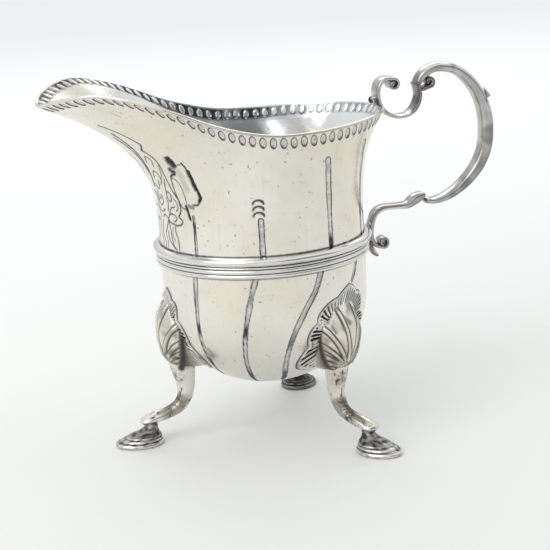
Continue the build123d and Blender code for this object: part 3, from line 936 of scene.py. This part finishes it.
# Handle straps: distance from the axis, height and thickness down each one's centre line
UPPER_SCROLL = [
    (42.4, 108.5, 1.3), (40.5, 106.9, 1.4), (39.8, 104.0, 1.4), (40.4, 100.8, 1.3), (42.5, 97.9, 1.2),
    (45.5, 96.5, 1.2), (48.6, 96.4, 1.2), (51.1, 97.4, 1.2), (52.9, 99.6, 1.3), (53.8, 102.5, 1.3),
    (53.4, 105.2, 1.3), (52.8, 106.7, 1.2),
]
GRIP = [
    (53.0, 105.4, 1.6), (55.3, 108.6, 2.2), (58.6, 110.4, 2.4), (62.0, 110.5, 2.4), (66.6, 109.2, 2.5),
    (71.0, 105.6, 2.8), (74.3, 100.6, 3.1), (76.3, 94.6, 3.5), (76.6, 88.5, 3.6), (75.7, 82.6, 3.5),
    (72.8, 77.0, 3.2), (68.0, 72.2, 2.7), (62.6, 69.0, 2.1), (57.6, 67.9, 1.6), (54.2, 68.6, 1.6),
]
VOLUTE = [(54.6, 104.6, 0.9), (55.2, 104.2, 1.3), (56.6, 104.6, 1.3)]
LOWER_SCROLL = [
    (54.6, 69.6, 1.6), (53.4, 69.9, 2.2), (51.2, 69.0, 2.9), (48.4, 67.5, 2.0), (44.0, 67.5, 1.6),
    (40.2, 67.4, 1.7), (37.6, 66.0, 1.7), (36.2, 63.0, 1.5), (35.8, 60.0, 1.3), (36.1, 57.6, 1.2),
    (37.4, 55.6, 1.2),
]
TAIL_LEAF = [(35.6, 57.4, 0.7), (35.7, 55.6, 1.2), (36.6, 53.4, 1.5), (38.2, 52.0, 0.8)]
SCROLL_WIDTH = 6.4
GRIP_WIDTH = 5.4
VOLUTE_WIDTH = 4.4
LOWER_WIDTH = 4.8
LEAF_WIDTH = 3.5
STRAP_ROUND = 36
LONG_STRAP_STEPS = 150
VOLUTE_STEPS = 70
LEAF_STEPS = 24
# How square a strap's edges are: 1 is oval, less is squarer
STRAP_SQUARENESS = 0.42


def strap(name, stations, width, material, node, steps, bow=0.18, dark_inside=0.55, taper=None,
          worn_part=None):
    """A curved strap: flat towards the hollow of the curve, rounded outside, softened at its edges."""
    line = path_through(stations, steps)
    last = len(line) - 1

    def place(u, v):
        index = min(int(round(v * last)), last)
        x, z, thickness = line[index]
        before, after = line[max(index - 1, 0)], line[min(index + 1, last)]
        run = Vector((after[0] - before[0], after[1] - before[1])).normalized()
        out = Vector((-run.y, run.x))
        turn = 2 * pi * u
        lift, across = cos(turn), sin(turn)
        lift_share = abs(lift) ** (0.8 if lift > 0 else 0.5) * (1 if lift > 0 else -1)
        across_share = abs(across) ** STRAP_SQUARENESS * (1 if across > 0 else -1)
        close = 0.0 if index in (0, last) else (0.8 if index in (1, last - 1) else 1.0)
        half = width / 2 * (taper(v) if taper else 1.0)
        rise = thickness / 2 * lift_share * (1 + bow * (1 - across_share**2)) * close
        worn = 0.5 + 0.5 * noise.noise((x * 0.25, z * 0.25, across * 0.8))
        inner = 1 if lift < 0 else 0
        dark = inner * dark_inside * (0.35 + 0.65 * worn)
        dark = max(dark, 0.3 * smooth(noise.noise((x * 0.3, across, z * 0.3)), 0.1, 0.6))
        if worn_part:
            fleck = noise.noise((x * 0.35, across * 0.7, z * 0.35))
            dark = max(dark, worn_part(v) * clamp(0.55 + 0.5 * fleck + 0.3 * lift))
        return (x + out.x * rise, across_share * half * close, z + out.y * rise), dark

    bm = wrapped(STRAP_ROUND, steps + 1, place)
    new_piece(name, bm, [material], [node])


SPUR_FOOT = (76.6, 100.7)
SPUR_TIP = (78.95, 99.7)
SPUR_GRID = (32, 24)
PELLET_PLACE = (38.6, 0, 102.3)
PELLET_RADIUS = 1.28


def spur_place(u, v):
    """A small three-cornered point standing out of the grip's back."""
    share = (v - 0.2) / 0.8 if v > 0.2 else 0.0
    size = (1 - share) ** 0.95 if v > 0.2 else v / 0.2
    turn = 2 * pi * u
    x = SPUR_FOOT[0] + (SPUR_TIP[0] - SPUR_FOOT[0]) * share - 0.2 * size * cos(turn)
    z = SPUR_FOOT[1] + (SPUR_TIP[1] - SPUR_FOOT[1]) * share + 2.1 * size * cos(turn)
    return (x, 1.3 * size * sin(turn), z), 0.85 * (1 - share) * (0.5 - 0.5 * cos(turn))


def make_handle(finish):
    """The seven pieces of the handle, from the rim down to the girdle."""
    upper = list(reversed(scroll_end((45.1, 106.7), 1.75, 98, -1.15, 1.15))) + UPPER_SCROLL
    strap("upper_u_scroll", upper, SCROLL_WIDTH, finish, "handle_upper_scroll", LONG_STRAP_STEPS,
          dark_inside=0.3,
          worn_part=lambda v: 0.75 * smooth(v, 0.68, 0.82) + 0.6 * (1 - smooth(v, 0.08, 0.3)))
    strap("grip_scroll", GRIP, GRIP_WIDTH, finish, "handle_grip", LONG_STRAP_STEPS, bow=0.3,
          dark_inside=0.35,
          worn_part=lambda v: 0.62 * smooth(v, 0.38, 0.6) + 0.6 * (1 - smooth(v, 0.02, 0.1)))
    volute = VOLUTE + scroll_end((57.4, 106.3), 1.4, -70, 0.9, 1.5)
    strap("grip_volute", volute, VOLUTE_WIDTH, finish, "handle_volute", VOLUTE_STEPS, dark_inside=0.9,
          worn_part=lambda v: 0.8)
    lower = LOWER_SCROLL + scroll_end((39.6, 56.5), 1.7, -80, 1.1, 1.15)
    strap("lower_s_scroll", lower, LOWER_WIDTH, finish, "handle_lower_scroll", LONG_STRAP_STEPS,
          dark_inside=0.45,
          worn_part=lambda v: 0.5 * (1 - smooth(v, 0.12, 0.3)) + 0.6 * smooth(v, 0.4, 0.6))
    bm = wrapped(*SPUR_GRID, spur_place)
    new_piece("thumb_spur", bm, [finish], ["handle_thumb_spur"])
    strap("tail_leaf", TAIL_LEAF, LEAF_WIDTH, finish, "handle_tail_leaf", LEAF_STEPS, dark_inside=0.9,
          taper=lambda v: 0.75 + 0.25 * sin(pi * v))
    bm = bmesh.new()
    bmesh.ops.create_uvsphere(bm, u_segments=32, v_segments=20, radius=PELLET_RADIUS)
    layer = patina_and_shade_layer(bm)
    for vert in bm.verts:
        vert[layer] = 0.9 * (1 - smooth(vert.co.x + 0.6, -0.5, 0.6))
    bmesh.ops.translate(bm, vec=PELLET_PLACE, verts=bm.verts)
    new_piece("rim_pellet", bm, [finish], ["handle_rim_pellet"])


# ---------------------------------------------------------------- finishes


class Value:
    """A shader socket that takes part in plain Python sums."""

    def __init__(self, finish, socket):
        self.finish, self.socket = finish, socket

    def maths(self, operation, *terms):
        return self.finish.node("ShaderNodeMath", {"operation": operation}, dict(enumerate(terms)))

    def __add__(self, other):
        return self.maths("ADD", self, other)

    def __sub__(self, other):
        return self.maths("SUBTRACT", self, other)

    def __rsub__(self, other):
        return self.maths("SUBTRACT", other, self)

    def __mul__(self, other):
        return self.maths("MULTIPLY", self, other)

    __radd__ = __add__
    __rmul__ = __mul__

    def clamped(self):
        return self.maths("MINIMUM", self.maths("MAXIMUM", self, 0.0), 1.0)

    def step(self, low, high):
        """0 below low and 1 above high, easing between."""
        return self.finish.node("ShaderNodeMapRange", {"interpolation_type": "SMOOTHSTEP"},
                                {0: self, 1: low, 2: high, 3: 0.0, 4: 1.0})


def set_stops(ramp, stops):
    """Fills a ramp from (place, colour) stops; the first is at 0, and white stays at 1."""
    for place, colour in stops:
        element = ramp.elements[0] if place == 0.0 else ramp.elements.new(place)
        element.color = colour


class Finish:
    """A material, or the room's light, under construction."""

    def __init__(self, owner):
        owner.use_nodes = True
        self.owner = owner
        self.nodes, self.links = owner.node_tree.nodes, owner.node_tree.links
        self.nodes.clear()

    def node(self, kind, settings=None, sockets=None, output=0):
        """A new node with its settings made and its sockets set or linked; gives one of its outputs."""
        node = self.nodes.new(kind)
        for key, value in (settings or {}).items():
            if key == "stops":
                set_stops(node.color_ramp, value)
            else:
                setattr(node, key, value)
        for key, value in (sockets or {}).items():
            if isinstance(value, Value):
                self.links.new(value.socket, node.inputs[key])
            else:
                node.inputs[key].default_value = value
        return Value(self, node.outputs[output]) if node.outputs else None

    def noise(self, scale, detail=4.0, roughness=0.55, stretch=(1, 1, 1)):
        """Cloudy noise of so many features per millimetre, from 0 to 1."""
        place = self.node("ShaderNodeTexCoord", output="Object")
        scaled = self.node("ShaderNodeMapping", {}, {"Vector": place, "Scale": stretch})
        return self.node("ShaderNodeTexNoise", {}, {
            "Vector": scaled, "Scale": scale * 1000, "Detail": detail, "Roughness": roughness})

    def mix(self, share, first, second):
        return self.node("ShaderNodeMix", {"data_type": "RGBA"}, {0: share, 6: first, 7: second}, output=2)

    def attribute(self, name):
        return self.node("ShaderNodeAttribute", {"attribute_name": name}, output="Fac")


def silver(name, light, warm, dark, stain_and_shade=(0.37, 0.37, 0.395), shine=0.16, tarnish=0.5, pits=0.25,
           scratches=0.3, lip=None):
    """Old hand-polished silver: light and warm patches, dark polish left in the hollows along with painted
    shade from the same mask, fine wear.
    """
    finish = Finish(bpy.data.materials.new(name))
    patches = finish.noise(0.035, 3.0).step(0.35, 0.68)
    cloud = finish.noise(0.16, 5.0).step(0.4, 0.72)
    grain = finish.noise(2.2, 6.0, 0.65)
    # this mask carries dark polish left in hollows and also the painted shade, shadow and reflection marks
    # set on the pieces
    patina_and_shade = finish.attribute("patina_and_shade")
    speck = finish.noise(0.85, 1.0, 0.4).step(0.745 - 0.04 * pits, 0.765) * (1.3 * pits)
    hairlines = finish.noise(0.9, 3.0, 0.6, stretch=(1.0, 1.0, 0.06)).step(0.6, 0.66) * scratches
    scuffs = finish.noise(0.7, 3.0, 0.6, stretch=(0.1, 1.0, 0.9)).step(0.62, 0.67) * scratches
    colour = finish.mix((patches * 0.75 + cloud * 0.25) * tarnish, (*light, 1), (*warm, 1))
    if lip:
        place = finish.node("ShaderNodeTexCoord", output="Object")
        across = finish.node("ShaderNodeSeparateXYZ", {}, {0: place}, output="X")
        on_lip = 1.0 - across.step(-0.06, -0.03)
        colour = finish.mix(on_lip, colour, (*lip, 1))
    colour = finish.mix(((hairlines + scuffs) * 0.22).clamped(), colour, (*[0.62 * c for c in light], 1))
    colour = finish.mix((speck * 0.8).clamped(), colour, (*dark, 1))
    hollow = (patina_and_shade * (0.86 + 0.24 * grain)).clamped()
    colour = finish.mix(hollow.step(0.04, 0.42), colour, (*stain_and_shade, 1))
    colour = finish.mix(hollow.step(0.35, 0.95), colour, (*dark, 1))
    roughness = (shine + 0.07 * cloud + 0.06 * (hairlines + scuffs) + 0.25 * hollow
                 + 0.1 * (grain - 0.5)).clamped()
    if lip:
        roughness = roughness + 0.2 * on_lip
    metal = 1.0 - 0.25 * hollow
    height = grain * 0.02 - hairlines * 0.05 - scuffs * 0.05 - speck * 0.5 + cloud * 0.25
    bump = finish.node("ShaderNodeBump", {}, {"Strength": 0.35, "Distance": 0.0002, "Height": height})
    shader = finish.node("ShaderNodeBsdfPrincipled", {}, {
        "Base Color": colour, "Metallic": metal, "Roughness": roughness, "Normal": bump})
    finish.node("ShaderNodeOutputMaterial", {}, {"Surface": shader})
    return finish.owner


def make_finishes():
    """Every silver on the jug: its light, its warm and its dark colour, then how it is worn."""
    return {
        "raised": silver("raised_silver", (0.83, 0.815, 0.755), (0.78, 0.72, 0.585), (0.045, 0.04, 0.045),
                         shine=0.2, tarnish=0.85, pits=0.5, scratches=0.5),
        "inside": silver("inside_silver", (0.84, 0.855, 0.86), (0.68, 0.695, 0.68), (0.05, 0.05, 0.05),
                         shine=0.12, tarnish=0.9, pits=0.4, lip=(0.53, 0.52, 0.455)),
        "drawn": silver("drawn_silver", (0.78, 0.78, 0.77), (0.68, 0.65, 0.57), (0.04, 0.036, 0.04),
                        shine=0.1, tarnish=0.4, pits=0.1),
        "chased": silver("chased_silver", (0.80, 0.79, 0.74), (0.72, 0.67, 0.56), (0.03, 0.025, 0.022),
                         shine=0.2, tarnish=0.5),
        "cast": silver("cast_silver", (0.82, 0.80, 0.75), (0.66, 0.60, 0.50), (0.05, 0.04, 0.032),
                       stain_and_shade=(0.40, 0.37, 0.33), shine=0.13, tarnish=0.7, pits=0.5),
        "foot": silver("foot_silver", (0.74, 0.73, 0.71), (0.50, 0.47, 0.42), (0.05, 0.047, 0.045),
                       stain_and_shade=(0.33, 0.32, 0.305), shine=0.18, tarnish=0.6, pits=0.5),
        # painted shade: a darker copy of the foot finish for the foot that stands in shadow, with some
        # tarnish as well
        "shaded foot": silver("shaded_foot_silver", (0.30, 0.295, 0.29), (0.20, 0.195, 0.19),
                            (0.03, 0.028, 0.027), stain_and_shade=(0.10, 0.097, 0.094), shine=0.28, tarnish=0.7,
                            pits=0.5),
        "handle": silver("handle_silver", (0.77, 0.77, 0.76), (0.50, 0.485, 0.455), (0.05, 0.046, 0.042),
                         stain_and_shade=(0.29, 0.282, 0.268), shine=0.09, tarnish=0.8, pits=0.3),
    }


# ---------------------------------------------------------------- studio

CAMERA_TURN = -15.32
CAMERA_RISE = 14.12
CAMERA_ROLL = 3.59
CAMERA_DISTANCE = 520.0
CAMERA_TARGET_Z = 50.0
LENS = 107.83
LENS_SHIFT = (0.0190, 0.0019)


def make_camera():
    data = bpy.data.cameras.new("studio_camera")
    camera = bpy.data.objects.new("studio_camera", data)
    bpy.context.scene.collection.objects.link(camera)
    turn, rise, roll = radians(CAMERA_TURN), radians(CAMERA_RISE), radians(CAMERA_ROLL)
    back = Vector((sin(turn) * cos(rise), -cos(turn) * cos(rise), sin(rise)))
    right = Vector((cos(turn), sin(turn), 0))
    up = back.cross(right)
    x_axis = right * cos(roll) - up * sin(roll)
    y_axis = right * sin(roll) + up * cos(roll)
    place = Vector((AXIS_X, 0, CAMERA_TARGET_Z * MM)) + back * CAMERA_DISTANCE * MM
    matrix = Matrix((x_axis, y_axis, back)).transposed().to_4x4()
    matrix.translation = place
    camera.matrix_world = matrix
    data.lens = LENS
    data.sensor_width = 36
    data.shift_x, data.shift_y = LENS_SHIFT
    data.clip_start, data.clip_end = 0.01, 20
    bpy.context.scene.camera = camera


def area_light(name, place, aim, size, power, colour):
    data = bpy.data.lights.new(name, "AREA")
    data.shape = "RECTANGLE"
    data.size, data.size_y = size
    data.energy = power
    data.color = colour
    light = bpy.data.objects.new(name, data)
    light.location = place
    light.rotation_euler = (Vector(aim) - Vector(place)).to_track_quat("-Z", "Y").to_euler()
    bpy.context.scene.collection.objects.link(light)


def make_floor():
    """A sheet of white paper with painted light: its colour and a faint emission grow a little cooler and
    brighter in the distance.
    """
    bm = bmesh.new()
    bmesh.ops.create_grid(bm, x_segments=2, y_segments=2, size=4)
    mesh = bpy.data.meshes.new("floor")
    bm.to_mesh(mesh)
    bm.free()
    floor = bpy.data.objects.new("floor", mesh)
    bpy.context.scene.collection.objects.link(floor)
    finish = Finish(bpy.data.materials.new("paper"))
    place = finish.node("ShaderNodeTexCoord", output="Object")
    depth = finish.node("ShaderNodeSeparateXYZ", {}, {0: place}, output="Y")
    # painted light: colour and emission brighten with distance in place of light falling off across the
    # backdrop
    far = depth.step(-0.2, 1.2)
    colour = finish.mix(far, (0.80, 0.81, 0.80, 1), (0.90, 0.915, 0.93, 1))
    glow = finish.mix(far, (0.0, 0.0, 0.0, 1), (0.05, 0.052, 0.054, 1))
    shader = finish.node("ShaderNodeBsdfPrincipled", {}, {
        "Base Color": colour, "Roughness": 0.9, "Emission Color": glow, "Emission Strength": 1.0})
    finish.node("ShaderNodeOutputMaterial", {}, {"Surface": shader})
    mesh.materials.append(finish.owner)


# How grey the room is from straight down to straight up
ROOM_GREYS = ((0.0, 0.80), (0.12, 0.74), (0.35, 0.92), (0.75, 1.0))
ROOM_STRENGTH = 0.96
DARK_SIDE = Vector((0.55, -0.80, 0.22))
DARK_SIDE_COLOUR = (0.34, 0.35, 0.36, 1)


def make_room_light():
    """Light all round that falls off low down, with a darker opening on one side."""
    world = bpy.data.worlds.new("studio")
    bpy.context.scene.world = world
    room = Finish(world)
    place = room.node("ShaderNodeTexCoord", output="Generated")
    height = room.node("ShaderNodeSeparateXYZ", {}, {0: place}, output="Z")
    stops = [(stop, (grey * 0.995, grey, grey * 0.995, 1)) for stop, grey in ROOM_GREYS]
    light = room.node("ShaderNodeValToRGB", {"stops": stops}, {0: height})
    facing = room.node("ShaderNodeVectorMath", {"operation": "DOT_PRODUCT"},
                       {0: place, 1: DARK_SIDE.normalized()}, output="Value")
    light = room.mix(facing.step(0.74, 0.93), light, DARK_SIDE_COLOUR)
    glow = room.node("ShaderNodeBackground", {}, {"Color": light, "Strength": ROOM_STRENGTH})
    room.node("ShaderNodeOutputWorld", {}, {"Surface": glow})


def make_studio():
    """A white floor, light all round, one large soft key from the left and a low lamp behind."""
    make_floor()
    make_room_light()
    area_light("key", (-0.75, -0.45, 0.75), (0, 0, 0.06), (0.8, 0.8), 4.0, (1, 0.995, 0.98))
    area_light("back", (0.25, 0.8, 0.7), (0, 0, 0.08), (0.8, 0.4), 1.8, (0.98, 0.99, 1))
    bpy.context.scene.view_settings.view_transform = "Standard"


make_camera()
make_studio()
finishes = make_finishes()
body_finishes = [finishes["raised"], finishes["inside"]]
wall_rows = rows(SEAM_Z, FLARE_START_Z, 1.0) + rows(FLARE_START_Z, WALL_JOIN_Z, 0.2)[1:]
make_wall("body_wall", wall_rows, body_finishes)
make_wall("body_flare", rows(WALL_JOIN_Z, BLANK_TOP - RIM_BAND, 0.18), body_finishes)
make_rim_band(body_finishes)
make_bowl(body_finishes)
make_girdle(finishes["drawn"])
for leg_side in LEG_TURNS:
    # the right-hand foot gets the darker copy of the foot finish, painted shade for its place in shadow
    foot_finish = finishes["shaded foot"] if leg_side == "right" else finishes["foot"]
    make_leg(leg_side, finishes["chased"], finishes["cast"], foot_finish)
make_handle(finishes["handle"])

bpy.context.view_layer.update()
